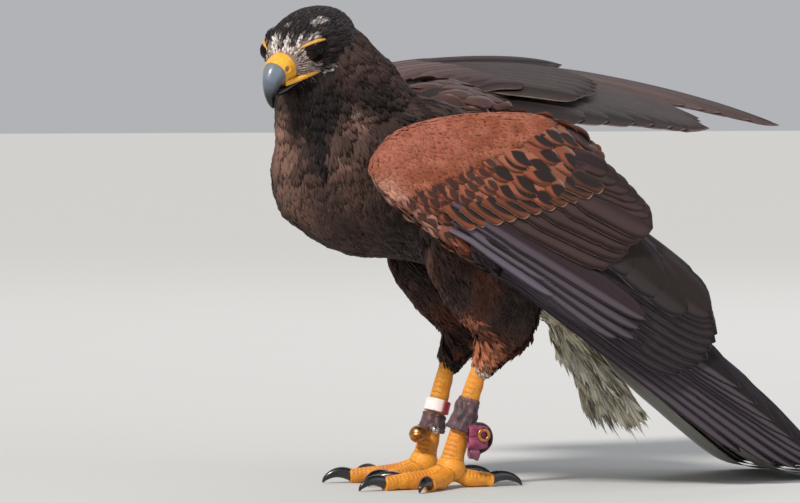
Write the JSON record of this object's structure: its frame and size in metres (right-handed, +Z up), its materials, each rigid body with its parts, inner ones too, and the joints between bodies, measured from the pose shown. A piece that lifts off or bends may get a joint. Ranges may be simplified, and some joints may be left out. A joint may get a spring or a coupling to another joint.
{
  "type": "harris hawk",
  "caption": "Life-size still model of a Harris's hawk standing with both wings part open, head turned aside, with leather leg cuffs, a ring and a small bell.",
  "frame": {"origin": "middle of the underside of the whole bird's box, on the floor it stands on", "axes": "+Z up; the bird's breast faces -X and its left side is -Y"},
  "size_m": [0.4448, 0.2978, 0.2974],
  "materials": {
    "plumage": "small soft dark brown feathers over the head, neck, body and thighs",
    "flight": "long smooth dark grey-brown feathers with paler edges, rufous on the shoulders",
    "cere": "bare waxy yellow skin",
    "horn": "polished blue-grey horn with a black tip",
    "eye": "wet dark brown eye",
    "scales": "yellow-orange horny scales",
    "claw": "black horn",
    "leather": "supple leather, worn at the edges",
    "brass": "worn brass",
    "nickel": "polished nickel",
    "band": "smooth white plastic with a red stretch"
  },
  "bodies": {
    "root": {"head": "plumage", "cere": "cere", "bill_upper": "horn", "bill_lower": "horn", "eye_right": "eye", "eye_left": "eye", "torso": "plumage", "neck": "plumage", "wing_left": "flight", "wing_right": "flight", "tail": "flight", "thigh_left": "plumage", "tarsus_left": "scales", "foot_left": "scales", "claw_left_inner": "claw", "claw_left_middle": "claw", "claw_left_outer": "claw", "claw_left_hind": "claw", "thigh_right": "plumage", "tarsus_right": "scales", "foot_right": "scales", "claw_right_inner": "claw", "claw_right_middle": "claw", "claw_right_outer": "claw", "claw_right_hind": "claw", "leg_ring": "band", "cuff_right": "leather", "cuff_left": "leather", "bell": "brass", "bell_small": "nickel", "bell_strap": "leather", "cuff_knot": "leather", "eyelet": "brass"}
  },
  "joints": []
}
